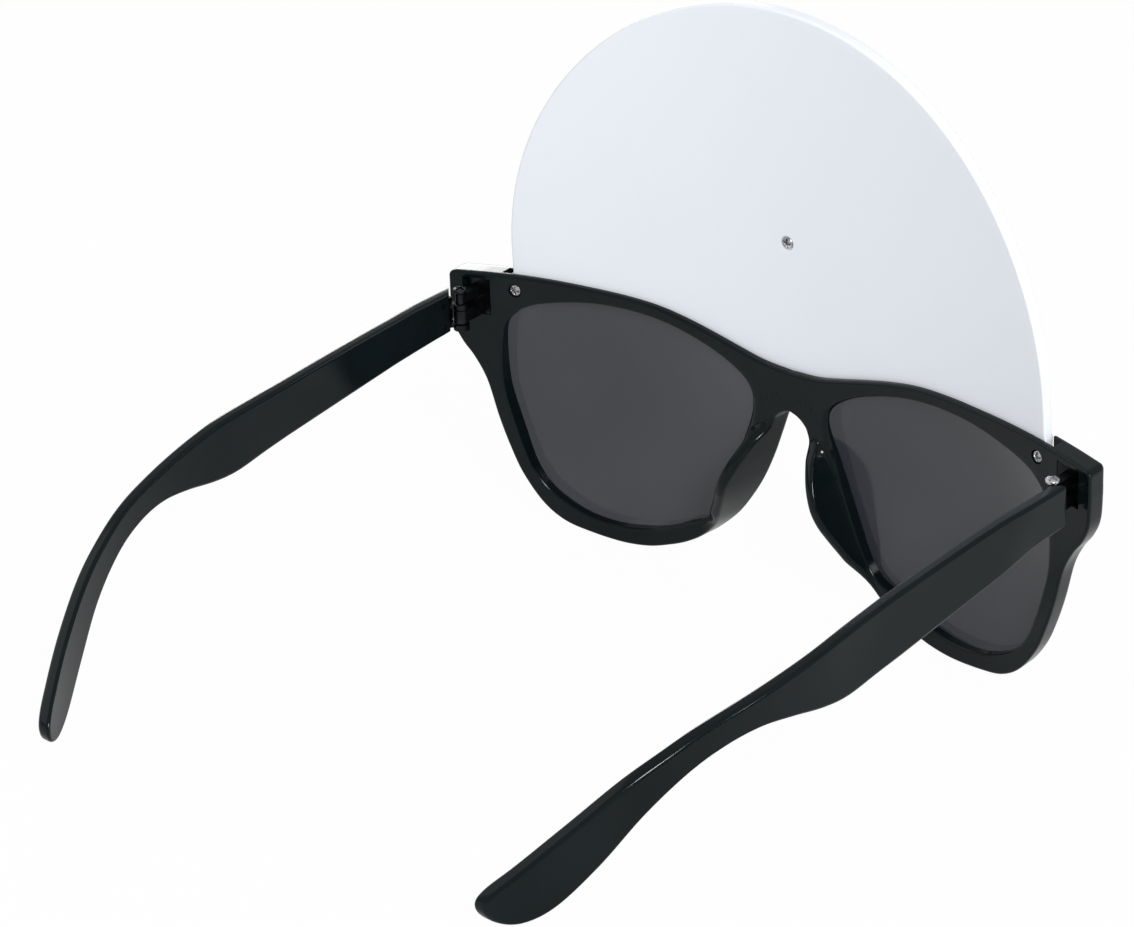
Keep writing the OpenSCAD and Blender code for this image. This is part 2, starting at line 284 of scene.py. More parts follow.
class Value:
    """A shader socket that takes part in arithmetic: each operation adds its Math node."""

    def __init__(self, shader: "Shader", socket: bpy.types.NodeSocket) -> None:
        """Wraps an output socket of a shader's node."""
        self.shader = shader
        self.socket = socket

    def _math(self, operation: str, first: "Term", second: "Term") -> "Value":
        """Adds a Math node for an operation on two terms."""
        made = self.shader.node("ShaderNodeMath", {"operation": operation}, {0: first, 1: second})
        return made.out("Value")

    def __add__(self, other: "Term") -> "Value":
        """This value plus another."""
        return self._math("ADD", self, other)

    def __mul__(self, other: "Term") -> "Value":
        """This value times another."""
        return self._math("MULTIPLY", self, other)

    def __sub__(self, other: "Term") -> "Value":
        """This value less another."""
        return self._math("SUBTRACT", self, other)

    def __rsub__(self, other: "Term") -> "Value":
        """Another value less this one."""
        return self._math("SUBTRACT", other, self)

    def larger(self, other: "Term") -> "Value":
        """The larger of this value and another."""
        return self._math("MAXIMUM", self, other)

    __radd__ = __add__
    __rmul__ = __mul__


Term = Union[Value, float, int, tuple]


class Step:
    """A node that has been added, whose outputs are read by name."""

    def __init__(self, shader: "Shader", made: bpy.types.Node) -> None:
        """Keeps the node and the shader that it is in."""
        self.shader = shader
        self.made = made

    def out(self, name: Union[str, int] = 0) -> Value:
        """One of the node's outputs."""
        return Value(self.shader, self.made.outputs[name])


class Shader:
    """The node tree of a material or of the world."""

    def __init__(self, tree: bpy.types.NodeTree) -> None:
        """Empties the tree."""
        self.tree = tree
        tree.nodes.clear()

    def node(self, kind: str, settings: Optional[dict] = None, inputs: Optional[dict] = None) -> Step:
        """Adds a node.

        Args:
            kind: the node's type.
            settings: its own settings, set first; "stops" are a ramp's places and colours.
            inputs: values or links of its sockets, by name or number.

        Returns:
            The node, ready to be read from.
        """
        made = self.tree.nodes.new(kind)
        for key, value in (settings or {}).items():
            if key == "stops":
                ramp = made.color_ramp
                while len(ramp.elements) < len(value):
                    ramp.elements.new(1)
                for stop, (place, colour) in zip(ramp.elements, value):
                    stop.position, stop.color = place, (*colour, 1)
            else:
                setattr(made, key, value)
        for key, value in (inputs or {}).items():
            socket = made.inputs[key]
            if isinstance(value, Value):
                self.tree.links.new(value.socket, socket)
            elif isinstance(value, tuple) and len(value) == 3 and socket.type == "RGBA":
                socket.default_value = (*value, 1)
            else:
                socket.default_value = value
        return Step(self, made)

    def place(self) -> Value:
        """The point on the surface, in the piece's own coordinates."""
        return self.node("ShaderNodeTexCoord").out("Object")

    def noise(self, scale: float, detail: float = 2, rough: float = 0.5) -> Value:
        """A noise over the surface, with scale its number of swells in a metre."""
        inputs = {"Vector": self.place(), "Scale": scale, "Detail": detail, "Roughness": rough}
        return self.node("ShaderNodeTexNoise", None, inputs).out("Fac")

    def ramp(self, value: Value, *stops: tuple) -> Value:
        """A colour ramp over a value, with stops of place and colour."""
        return self.node("ShaderNodeValToRGB", {"stops": stops}, {"Fac": value}).out("Color")

    def bump(self, height: Value, depth: float, strength: float = 1) -> Value:
        """A normal that follows a height of up to a depth in metres."""
        return self.node("ShaderNodeBump", None,
                         {"Height": height, "Distance": depth, "Strength": strength}).out("Normal")

    def finish(self, shade: Value, output: str = "ShaderNodeOutputMaterial") -> None:
        """Leads a shader to the output."""
        self.node(output, None, {"Surface": shade})


def toned(colour: tuple, share: float) -> tuple:
    """A colour made darker or lighter by a share."""
    return tuple(share * c for c in colour)


@dataclass(frozen=True)
class Finish:
    """What every finish has: a name, and a way to be put on a piece."""

    name: str

    def shade(self, shader: Shader) -> Value:
        """Builds the finish's nodes and returns their shader."""
        raise NotImplementedError

    def material(self) -> bpy.types.Material:
        """The finish's material, made once."""
        found = bpy.data.materials.get(self.name)
        if found:
            return found
        made = bpy.data.materials.new(self.name)
        made.use_nodes = True
        shader = Shader(made.node_tree)
        shader.finish(self.shade(shader))
        return made

    def dress(self, thing: bpy.types.Object, slot: str) -> bpy.types.Object:
        """Puts the finish on a piece."""
        thing.data.materials.clear()
        thing.data.materials.append(self.material())
        return thing


@dataclass(frozen=True)
class MouldedBlack(Finish):
    """Satin black plastic, nearly black in itself, with the faint unevenness of a moulding."""

    colour: tuple = (0.0028, 0.0058, 0.0068)
    rough: float = 0.13

    def shade(self, shader: Shader) -> Value:
        """Mixes slow and fine noises into roughness, colour and height."""
        slow = shader.noise(55, 2)
        fine = shader.noise(1500, 2, 0.6)
        tone = shader.ramp(slow, (0.3, toned(self.colour, 0.8)), (0.7, toned(self.colour, 1.25)))
        gloss = self.rough + (slow - 0.5) * 0.06 + (fine - 0.5) * 0.03
        return shader.node("ShaderNodeBsdfPrincipled", None, {
            "Base Color": tone, "Roughness": gloss, "IOR": 1.5, "Specular IOR Level": 0.2,
            "Normal": shader.bump(slow * 0.75 + fine * 0.25, 0.00003, 0.5)}).out("BSDF")


@dataclass(frozen=True)
class SmokeLens(Finish):
    """A smooth smoke grey lens that lets a little light through."""

    colour: tuple = (0.038, 0.040, 0.050)
    clear: float = 0.11
    rough: float = 0.08

    def shade(self, shader: Shader) -> Value:
        """A glossy dark shell, with a slow change of tone and some of what lies behind."""
        slow = shader.noise(28, 1)
        tone = shader.ramp(slow, (0.3, toned(self.colour, 0.85)), (0.7, toned(self.colour, 1.15)))
        return shader.node("ShaderNodeBsdfPrincipled", None, {
            "Base Color": tone, "Roughness": self.rough + slow * 0.03, "IOR": 1.5, "Alpha": 1 - self.clear,
            "Specular IOR Level": 0.5, "Normal": shader.bump(slow, 0.00005, 0.4)}).out("BSDF")


@dataclass(frozen=True)
class MouldedWhite(Finish):
    """Smooth cool white plastic with a soft gloss."""

    colour: tuple = (0.89, 0.93, 0.985)
    rough: float = 0.38

    def shade(self, shader: Shader) -> Value:
        """A nearly even white whose tone and gloss wander slowly."""
        slow = shader.noise(22, 2)
        fine = shader.noise(700, 2)
        tone = shader.ramp(slow, (0.3, toned(self.colour, 0.985)), (0.7, self.colour))
        return shader.node("ShaderNodeBsdfPrincipled", None, {
            "Base Color": tone, "Roughness": self.rough + (fine - 0.5) * 0.08, "IOR": 1.49,
            "Normal": shader.bump(slow * 0.8 + fine * 0.2, 0.00003, 0.35)}).out("BSDF")


@dataclass(frozen=True)
class PlatedSteel(Finish):
    """Small plated hardware: bright, finely scratched, a little dull in places."""

    colour: tuple = (0.72, 0.72, 0.74)
    rough: float = 0.17

    def shade(self, shader: Shader) -> Value:
        """A metal whose roughness and tone follow a fine noise."""
        fine = shader.noise(2600, 3, 0.6)
        dull = shader.noise(420, 2)
        tone = shader.ramp(dull, (0.35, toned(self.colour, 0.55)), (0.65, self.colour))
        return shader.node("ShaderNodeBsdfPrincipled", None, {
            "Base Color": tone, "Metallic": 1.0, "Roughness": self.rough + (fine - 0.5) * 0.12 + dull * 0.06,
            "Normal": shader.bump(fine, 0.00002, 0.6)}).out("BSDF")


BLACK = MouldedBlack("moulded black plastic")
LENS = SmokeLens("smoke lens")
WHITE = MouldedWhite("moulded white plastic")
STEEL = PlatedSteel("plated steel")
# Dark steel for the hinge halves and rivets, also used as painted shade on the left pivot screw.
DARK_STEEL_AND_SHADE = PlatedSteel("darkened steel", (0.035, 0.037, 0.042), 0.35)


# The glasses' sizes and their frame


def moved(points: Grid, matrix: Matrix) -> Grid:
    """Moves an array of points by a matrix."""
    m = np.array(matrix)
    return points @ m[:3, :3].T + m[:3, 3]


@dataclass(frozen=True)
class Glasses:
    """Sizes that several pieces share, the same as the solids', and the way onto the ground.

    The rims reach down to rim_depth at low_x, and the temple tips to tip_depth at tip_reach behind the
    hinges. At rest both temples stand swing degrees to the wearer's left. The plate leans about a line
    lean_y forward.
    """

    half_width: float = 73.5
    rim_depth: float = 51.9
    low_x: float = 38.0
    bow: float = 10.7
    thick: float = 5.0
    hinge_x: float = 67.85
    hinge_back: float = 3.1
    tip_depth: float = 38.8
    tip_reach: float = 120.95
    middle_y: float = -53.3
    swing: float = 3.3
    lean_y: float = 6.0
    lift: float = 0.12

    @property
    def bow_radius(self) -> float:
        """Radius of the bow: its chord and rise give (w^2 + b^2) / 2b."""
        return (self.half_width**2 + self.bow**2) / (2 * self.bow)

    def rear(self, x: Grid) -> Grid:
        """How far the rear surface stands forward at x, on the bow's circle."""
        return self.bow - self.bow_radius + np.sqrt(self.bow_radius**2 - np.asarray(x)**2)

    @property
    def tilt(self) -> float:
        """The angle that brings both the rims and the temple tips to the ground."""
        rim_y = float(self.rear(self.low_x))
        tip_y = self.hinge_back + self.tip_reach * math.cos(math.radians(self.swing))
        return math.atan2(self.rim_depth - self.tip_depth, rim_y + tip_y)

    @property
    def matrix(self) -> Matrix:
        """The move from the glasses' frame in millimetres to the ground in metres."""
        high = self.rim_depth * math.cos(self.tilt) - float(self.rear(self.low_x)) * math.sin(self.tilt)
        turn = Matrix.Rotation(self.tilt, 4, "X")
        return Matrix.Scale(MM, 4) @ Matrix.Translation((0, -self.middle_y, high + self.lift)) @ turn

    def place(self, points: Grid) -> Grid:
        """Stands points of the glasses' frame on the ground, in metres."""
        return moved(points, self.matrix)

    def on_bow(self, plane: Grid, depth: Grid) -> Grid:
        """Bends a drawing in x and z onto the bow, at a depth ahead of the rear surface, and places it."""
        x, z = plane[..., 0], plane[..., 1]
        return self.place(np.stack([x, self.rear(x) + depth, z], axis=-1))

    def leaned(self, plane: Grid, depth: Grid, lean: float) -> Grid:
        """As on_bow, for the plate, which leans back by an angle in degrees."""
        x, up = plane[..., 0], plane[..., 1]
        ahead = self.rear(x) + depth - self.lean_y
        c, s = math.cos(math.radians(lean)), math.sin(math.radians(lean))
        return self.place(np.stack([x, self.lean_y + ahead * c - up * s, ahead * s + up * c], axis=-1))

    def radial(self, x: float, z: float, depth: float) -> Matrix:
        """The frame of something set square into the bowed surface, with its +Z forward out of it."""
        angle = -math.asin(x / self.bow_radius)
        return (self.matrix @ Matrix.Translation((0, self.bow - self.bow_radius, z))
                @ Matrix.Rotation(angle, 4, "Z") @ Matrix.Translation((0, self.bow_radius + depth, 0))
                @ Matrix.Rotation(-math.pi / 2, 4, "X"))


G = Glasses()


def turned(outline: Points, steps: int = 48) -> Grid:
    """Turns an outline of radius and height about +Z: x = r cos t, y = r sin t, z = h.

    Args:
        outline: radius and height of each point, from pole to pole.
        steps: how many steps there are in a full turn.

    Returns:
        A grid with a turn in each column, to be wrapped over its rows.
    """
    t = np.linspace(0, 2 * math.pi, steps, endpoint=False)
    r, h = np.asarray(outline, float).T
    height = np.broadcast_to(h, (steps, len(h)))
    return np.stack([np.outer(np.cos(t), r), np.outer(np.sin(t), r), height], axis=-1)


def spun(name: str, outline: Points, matrix: Matrix, steps: int = 48) -> bpy.types.Object:
    """Makes a turned solid of that name and moves it by a matrix."""
    return wrapped(name, moved(turned(outline, steps), matrix))


# The front's top edge, from the middle to the right, and the right opening, each point as x and z
TOP_EDGE = ((0, -5.6), (6, -5.2), (11, -4.1), (18, -2.2), (24, -0.7), (30, 0.4), (37, 0.9), (45, 1),
            (53, 1), (60, 0.8), (67, 0.4))
OPENING = ((62.6, -25.5), (63.2, -21), (63.1, -15.2), (62.3, -10), (60.5, -7.4), (57.6, -5.3), (52.5, -3.6),
           (44, -2), (35, -1.7), (26.5, -2.7), (18, -5.2), (12.3, -8.1), (9.3, -11.2), (8.9, -15),
           (10.3, -20), (12.4, -26.5), (15.1, -33.5), (17.6, -38.8), (20.5, -42.3), (24.5, -44.2),
           (29, -46.4), (34, -47.7), (40, -48.4), (46, -47.8), (51, -45.9), (55.2, -43), (58.2, -38.8),
           (60.6, -32.5))


@dataclass
class Front:
    """The moulded front: two rims, the bridge between them and the two nose pads, in one skin.

    The skirt is the lower outline from the middle to the side. The ridge gives a pad's height over z, as a
    share of reach. Each of the pairs joins a place on the opening to one on the outline, and counts gives
    the rows between one pair and the next. The lips are the opening's roundings. The pocket's half width,
    bottom, top and depth past the rear surface are for cutting, as is the sink's radius.
    """

    flare: float = 10.0
    reach: float = 7.0
    ridge_round: float = 1.1
    toe: float = 6.0
    square: float = 2.8
    rear_round: float = 0.6
    front_round: float = 1.1
    corner: float = 1.2
    rear_lip: float = 0.4
    front_lip: float = 0.6
    pocket: tuple = (2.8, -8.3, -0.9, 1.35)
    sink: float = 1.36
    skirt: Points = ((0, -13.7), (1.6, -14.4), (2.8, -16), (4.4, -20.5), (6.4, -26), (8.8, -31.4),
                     (11.6, -36.2), (15.1, -41), (19.8, -45.4), (23.8, -47.9), (28, -49.7), (33, -51.3),
                     (39, -51.9), (46, -51.3), (51.5, -50), (56, -46.9), (60, -41.5), (62.5, -36),
                     (64.6, -30), (66.7, -22.5), (69, -18), (71.5, -14.6), (73.1, -11), (73.5, -6),
                     (73.5, -3))
    ridge: Points = ((-14.5, -0.2), (-16, -0.05), (-18, 0.12), (-20, 0.38), (-22, 0.61), (-25, 0.86),
                     (-28.5, 1), (-31.5, 0.95), (-34, 0.81), (-38, 0.56), (-42, 0.33), (-45.5, 0.14),
                     (-49, -0.05), (-52, -0.2))
    pairs: Points = ((9.1, -16.5, 3, -16.4), (12.4, -26.5, 6.7, -26.5), (17.6, -38.8, 12.9, -38.2),
                     (22.3, -43.4, 19.9, -45.5), (29, -46.4, 27.5, -49.5), (40, -48.4, 39.5, -51.9),
                     (51, -45.9, 53, -49.2), (58.2, -38.8, 61.2, -39), (62, -28, 65.2, -28),
                     (63.2, -21, 67.6, -20.4), (63.1, -15.2, 72.2, -13), (62.3, -10, 73.5, -1.6),
                     (60.5, -7.4, 72.2, 0), (57.6, -5.3, 63, 0.6), (52.5, -3.6, 53, 1), (35, -1.7, 35, 0.8),
                     (18, -5.2, 17, -2.5), (12.3, -8.1, 6, -5.2), (10.7, -9.4, 0, -5.6),
                     (10.4, -9.7, 0, -9.2), (8.9, -13, 0, -10), (8.8, -13.4, 0, -13.7))
    counts: tuple = (22, 26, 16, 16, 22, 22, 20, 20, 16, 16, 22, 8, 14, 16, 30, 30, 14, 10, 1, 12, 1, 10)

    @property
    def slant(self) -> float:
        """How far the nose sides open for each millimetre rearward."""
        return math.tan(math.radians(self.flare))

    def outline(self) -> Grid:
        """The right half's outline: up the side, round the corner, along the top and down the middle."""
        side, top = spline(self.skirt, 24), spline(TOP_EDGE, 24)[::-1]
        k = np.linspace(0, math.pi / 2, 9)
        x, z = G.half_width - self.corner, -self.corner
        corner = np.stack([x + self.corner * np.cos(k), z + self.corner * np.sin(k)], axis=1)
        middle = np.linspace(top[-1], side[0], 60)
        return np.vstack([side, corner, top, middle[1:-1]])

    def rise(self, edge: Grid) -> Grid:
        """How high the nose pad's ridge stands off the rear surface, along the nose side of the outline."""
        ridge = spline(self.ridge, 12)[::-1]
        high = self.reach * np.interp(edge[:, 1], ridge[:, 0], ridge[:, 1])
        bowed = edge[:, 0]**2 / (2 * G.bow_radius)
        return np.where(edge[:, 0] < 27, np.maximum(high - bowed, 0), 0)

    def soft_edge(self, inner: Grid) -> Grid:
        """How round the opening's rear edge is, which is more at its nose corner, where the pad begins."""
        wide = np.interp(inner[:, 1], (-26, -18.5, -14, -10, -6), (0, 1.3, 0.9, 0.5, 0))
        return self.rear_lip + np.where(inner[:, 0] < 20, wide, 0)

    def outer_section(self, rise: Grid, foot: Grid) -> tuple[Grid, Grid]:
        """The section's outer part, from the rear face over the edge or the nose pad to the front face.

        Without a pad it runs along the face and round the rear edge. With one it rises from the face by a
        power of the way, passes over the ridge as a half of |u|^n + |v|^n = 1 and comes down the nose side.
        A smooth step over the pad's height leads from the one to the other.

        Args:
            rise: the pad's height in each place round the rim.
            foot: how far in from the outline the part begins there.

        Returns:
            Distances in from the outline and depths, a row for each place.
        """
        r, edge, front = self.ridge_round, self.rear_round, self.front_round
        tall, foot = rise[:, None], foot[:, None]
        climb = np.linspace(0, 1, 9)
        turn = np.linspace(0, math.pi, 21)[1:]
        across = np.sign(np.cos(turn)) * np.abs(np.cos(turn))**(2 / self.square)
        high = np.abs(np.sin(turn))**(2 / self.square)
        over = np.tile(r + r * across, (len(rise), 1))
        full_in = np.concatenate([2 * r + np.maximum(foot - 2 * r, 0.2) * (1 - climb), over], axis=1)
        full = np.concatenate([-(tall - r) * climb**1.35, -(tall - r) - r * high], axis=1)
        k = np.linspace(0, math.pi / 2, 8)
        fade = np.linspace(1, 0, 22)[:-1]
        bend = np.tile(edge - edge * np.sin(k), (len(rise), 1))
        plain_in = np.concatenate([edge + (foot - edge) * fade, bend], axis=1)
        plain = np.concatenate([np.zeros(len(fade)), edge - edge * np.cos(k)])
        share = np.clip(tall / (3 * r), 0, 1)
        share = share * share * (3 - 2 * share)
        inward = plain_in + (full_in - plain_in) * share
        depth = plain + (full - plain) * share
        down = np.linspace(0, 1, 8)[1:-1]
        wall = depth[:, -1:] + (G.thick - front - depth[:, -1:]) * down
        k = np.linspace(0, math.pi / 2, 9)
        last_in = np.tile(front - front * np.cos(k), (len(rise), 1))
        last = np.tile(G.thick - front + front * np.sin(k), (len(rise), 1))
        inward = np.concatenate([inward, 0 * wall, last_in], axis=1)
        depth = np.concatenate([depth, wall, last], axis=1)
        return inward, depth

    def half(self) -> tuple[Grid, Grid]:
        """The right half of the skin, as a drawing in x and z and depths, closed both ways.

        Each row is the section at one place round the rim. It crosses from the opening to the outline, goes
        in by each edge's own normal for the roundings, and opens with the nose: x grows by the slant times
        the way back from the front.
        """
        marks = np.asarray(self.pairs)
        inner = paced(spline(OPENING, 24, closed=True), marks[:, :2], self.counts, closed=True)
        outer = paced(self.outline(), marks[:, 2:], self.counts, closed=True)
        normal = [unit_normals(inner) * -1, unit_normals(outer)]
        middle = outer[:, 0] < 1e-6
        ends = np.flatnonzero(middle)[[0, -1]]
        normal[1][ends] = [[0, -1], [0, 1]]
        free = np.where(middle, 0, 1)
        free[ends] = 1
        nose = np.interp(outer[:, 1], (-49.5, -44, -16, -13.7), (0, 1, 1, 0)) * (outer[:, 0] < 28)
        soft = self.soft_edge(inner)
        room = np.linalg.norm(outer - inner, axis=1) - soft - 0.15 - self.slant * G.thick * nose
        padded = (outer[:, 0] < 30) & (outer[:, 1] < -13)
        foot = np.where(padded, np.minimum(2 * self.ridge_round + self.toe, 3.2 + 0.72 * outer[:, 0]), 1.3)
        inward, depth = self.outer_section(self.rise(outer), np.minimum(foot, room))
        depth = np.where(free[:, None] > 0, depth, np.linspace(0, G.thick, depth.shape[1])[None])
        edge = outer[:, None] + normal[1][:, None] * (inward * free[:, None])[..., None]
        edge[..., 0] += self.slant * (G.thick - depth) * nose[:, None]
        k = np.linspace(0, math.pi / 2, 6)
        front = self.front_lip
        back, sunk = soft[:, None] * (1 - np.cos(k)), soft[:, None] * (1 - np.sin(k))
        ahead = np.stack([front - front * np.sin(k), G.thick - front + front * np.cos(k)], axis=1)
        rear_in = inner[:, None] + normal[0][:, None] * back[..., None]
        front_in = inner[:, None] + normal[0][:, None] * ahead[None, :, :1]
        flat = np.linspace(0, 1, 7)[1:-1][None, :, None]
        rear_flat = rear_in[:, -1:] + (edge[:, :1] - rear_in[:, -1:]) * flat
        front_flat = edge[:, -1:] + (front_in[:, :1] - edge[:, -1:]) * flat
        plane = np.concatenate([rear_in, rear_flat, edge, front_flat, front_in], axis=1)
        rows = (len(inner), 1)
        depth = np.concatenate([sunk, np.zeros((len(inner), 5)), depth,
                                np.full((len(inner), 5), G.thick), np.tile(ahead[:, 1], rows)], axis=1)
        return plane, depth

    def skin(self) -> bpy.types.Object:
        """Both halves in one mesh, open to each other where they meet in the middle."""
        plane, depth = self.half()
        shell = Shell()
        for sign in (1, -1):
            shell.add(G.on_bow(plane * [sign, 1], depth), True, True)
        return shell.build("front", open_middle=True)

    def block(self, name: str, low: Sequence[float], high: Sequence[float]) -> bpy.types.Object:
        """A plain box between two corners of the glasses' frame, for cutting with."""
        base = ((low[0], low[1]), (high[0], low[1]), (high[0], high[1]), (low[0], high[1]))
        corner = np.array([[[x, y, z] for z in (low[2], high[2])] for x, y in base], float)
        return wrapped(name, G.place(corner))

    def cutters(self, plate: "Plate") -> list[bpy.types.Object]:
        """The spaces in the front: the plate's seat, the hinge pockets and the sunk screw heads."""
        found = [plate.seat()]
        for side in Side:
            found.append(plate.notch(side))
            x = side.value * G.hinge_x
            half, low, high, deep = self.pocket
            wall = float(G.rear(G.hinge_x)) + deep
            found.append(self.block("pocket", (x - half, -6, low), (x + half, wall, high)))
            hole = ((0, -3), (self.sink, -3), (self.sink, 0.6), (0.7, 0.6), (0.7, 2), (0, 2))
            found.append(spun("hole", hole, G.radial(side.value * plate.tab_x, plate.tab_z, 0)))
        return found

    def build(self, plate: "Plate") -> bpy.types.Object:
        """Makes the front in one piece and dresses it."""
        whole = evened(carved(self.skin(), self.cutters(plate)), 35)
        BLACK.dress(whole, "black_plastic")
        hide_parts("front_frame")
        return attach(whole, "front")


def mirrored(thing: bpy.types.Object) -> bpy.types.Object:
    """A copy of a mesh object with x turned over, and its faces turned outwards again."""
    mesh = thing.data.copy()
    mesh.transform(Matrix.Scale(-1, 4, (1, 0, 0)))
    mesh.flip_normals()
    copy = bpy.data.objects.new(thing.name, mesh)
    bpy.context.scene.collection.objects.link(copy)
    return copy


@dataclass
class Lenses:
    """The two smoke lenses, whose edges sit in the rims.

    They lie set_back ahead of the rear surface at span to both sides of their middle.
    """

    set_back: float = 2.5
    thick: float = 1.6
    bite: float = 0.7
    curve: float = 90.0
    span: float = 25.8
    middle: tuple = (37.5, -25.0)

    def curved(self, plane: Grid, depth: Grid) -> Grid:
        """Lays a drawing in x and z on the lens's own sphere, whose middle bulges forward, and places it.

        The sphere's centre lies square behind the middle of the opening. Forward of it a point stands at
        the root of (curve + depth)^2 - x^2 - z^2, with x and z measured from the centre.
        """
        across, up = self.middle
        rise = self.span**2 / 2 * (1 / self.curve - 1 / G.bow_radius)
        angle = math.asin(across / G.bow_radius)
        back = G.bow_radius + self.set_back + rise - self.curve
        centre_x, centre_y = back * math.sin(angle), G.bow - G.bow_radius + back * math.cos(angle)
        x, z = plane[..., 0] - centre_x, plane[..., 1] - up
        y = centre_y + np.sqrt((self.curve + depth)**2 - x**2 - z**2)
        return G.place(np.stack([plane[..., 0], y, plane[..., 1]], axis=-1))

    def build(self) -> list[bpy.types.Object]:
        """Lays each lens from its middle to its edge, and dresses it."""
        edge = spline(OPENING, 10, closed=True)
        edge = edge - self.bite * unit_normals(edge)
        middle = np.broadcast_to(edge.mean(axis=0), edge.shape)
        section = Section.slab(0, self.thick, 0.15, flat=20, arc=3)
        plane, depth = section.across(middle, edge)
        right = wrapped("right_smoke_lens", self.curved(plane, depth))
        left = mirrored(right)
        left.name = "left_smoke_lens"
        for thing, side in ((left, Side.LEFT), (right, Side.RIGHT)):
            evened(thing)
            LENS.dress(thing, "tinted_lens")
            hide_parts(f"{side.word}_lens")
            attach(thing, "front")
        return [left, right]


@dataclass
class Plate:
    """The white domed plate that stands up from the front, and the plain button on its front.

    Its seat in the front is wider all round by gap, and runs up and forward past the front.
    """

    radius: float = 61.0
    centre: float = 5.2
    rear: float = 1.2
    thick: float = 2.4
    lean: float = 2.6
    lap: float = 0.7
    end: float = 61.1
    slot: float = 2.2
    tab_in: float = 57.7
    tab_low: float = -4.5
    tab_x: float = 59.9
    tab_z: float = -2.3
    screw_up: float = 20.3
    round_edge: float = 0.55
    gap: float = 0.1
    past_front: tuple = (12.0, 14.0)

    def lower_edge(self, drop: float) -> Grid:
        """The plate's lower edge, from right to left, a little below the front's top edge."""
        top = spline(TOP_EDGE, 10)
        top = top[top[:, 0] < self.tab_in - 0.3] - [0, drop]
        return np.vstack([top[::-1], top[1:] * [-1, 1]])

    def seat(self) -> bpy.types.Object:
        """The space that the front leaves for the plate's lower edge and tabs, for cutting with."""
        g = self.gap
        high, ahead = self.past_front
        low = self.lower_edge(self.lap + g)
        tab = np.array([[self.end + g + 0.04, 0.5], [self.end + g, self.tab_low + 1],
                        [self.end - 1 + g, self.tab_low - g], [self.tab_in + 1 - g, self.tab_low - g],
                        [self.tab_in - g, self.tab_low + 1], [self.tab_in - g - 0.04, -g]])
        low = np.vstack([tab, low, (tab * [-1, 1])[::-1]])
        top = np.stack([low[:, 0], np.full(len(low), high)], axis=1)
        plane = np.stack([low, top, top, low], axis=1)
        depth = np.array([self.rear - g / 2, self.rear - g / 2, ahead, ahead])
        points = G.leaned(plane, np.broadcast_to(depth, plane.shape[:2]), self.lean)
        return Shell().add(points, False, True).build("seat")

    def notch(self, side: Side) -> bpy.types.Object:
        """The short slot that the seat leaves in an end block past the plate's end, for cutting with."""
        a, b = self.end - 1, self.end + self.slot
        box = ((a, -2.5), (b, -2.5), (b, 3), (a, 3))
        plane = np.array([[[x * side.value, z]] * 2 for x, z in box], float)
        depth = np.broadcast_to([self.rear - self.gap / 2, self.rear + self.thick + self.gap / 2], (4, 2))
        return wrapped("notch", G.leaned(plane, depth, self.lean))

    def build(self) -> list[bpy.types.Object]:
        """Makes the plate, its two tabs and the button, and dresses them."""
        a = np.radians(np.linspace(-1.5, 181.5, 160))
        dome = np.stack([self.radius * np.cos(a), self.centre + self.radius * np.sin(a)], axis=1)
        corner = np.array([[-self.end, 0.5], [-self.end, 0.1], [-self.tab_in - 2, 0.1]])
        low = self.lower_edge(self.lap)[::-1]
        edge = np.vstack([dome, corner, low, (corner * [-1, 1])[::-1]])
        edge = paced(edge, edge[:1], [420], closed=True)
        middle = np.broadcast_to([0.0, 27.0], edge.shape)
        section = Section.slab(self.rear, self.rear + self.thick, self.round_edge, flat=22)
        plane, depth = section.across(middle, edge)
        main = wrapped("plate", G.leaned(plane, depth, self.lean))
        tab = np.array([[self.tab_in, 1.2], [self.tab_in, self.tab_low + 1], [self.tab_in + 1, self.tab_low],
                        [self.end - 1, self.tab_low], [self.end, self.tab_low + 1], [self.end, 1.2]])
        tab = paced(tab, tab[:1], [48], closed=True)
        plane, depth = section.across(np.broadcast_to([self.tab_x, -1.5], tab.shape), tab)
        right = wrapped("tab", G.leaned(plane, depth, self.lean))
        carved(main, [spun("hole", ((0, -2), (1.4, -2), (1.4, 0.5), (0, 0.5)), self.screw_frame())])
        whole = evened(joined("domed_plate", [main, right, mirrored(right)]))
        WHITE.dress(whole, "white_plastic")
        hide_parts("dome_plate")
        return [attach(whole, "front"), self.button()]

    def screw_frame(self) -> Matrix:
        """The frame of the middle screw, square to the leaning plate at its rear face."""
        turn = Matrix.Translation((0, G.lean_y, 0)) @ Matrix.Rotation(math.radians(self.lean), 4, "X")
        spot = turn @ Matrix.Translation((0, G.bow + self.rear - G.lean_y, self.screw_up))
        return G.matrix @ spot @ Matrix.Rotation(-math.pi / 2, 4, "X")

    def button(self) -> bpy.types.Object:
        """The button: a disc with a face domed as a part of a ball, seated on the plate's front."""
        ball, high = 14, self.thick + 2.98
        t = np.linspace(0, math.asin(6.6 / ball), 12)
        dome = np.stack([ball * np.sin(t), ball * np.cos(t) - ball + high], axis=1)
        outline = np.vstack([dome, [[6.9, 3.5], [6.98, 3.2], [6.98, 2.35], [0, 2.35]]])
        thing = spun("button", outline, self.screw_frame(), 96)
        evened(thing)
        WHITE.dress(thing, "white_plastic")
        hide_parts("centre_button")
        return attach(thing, "front")


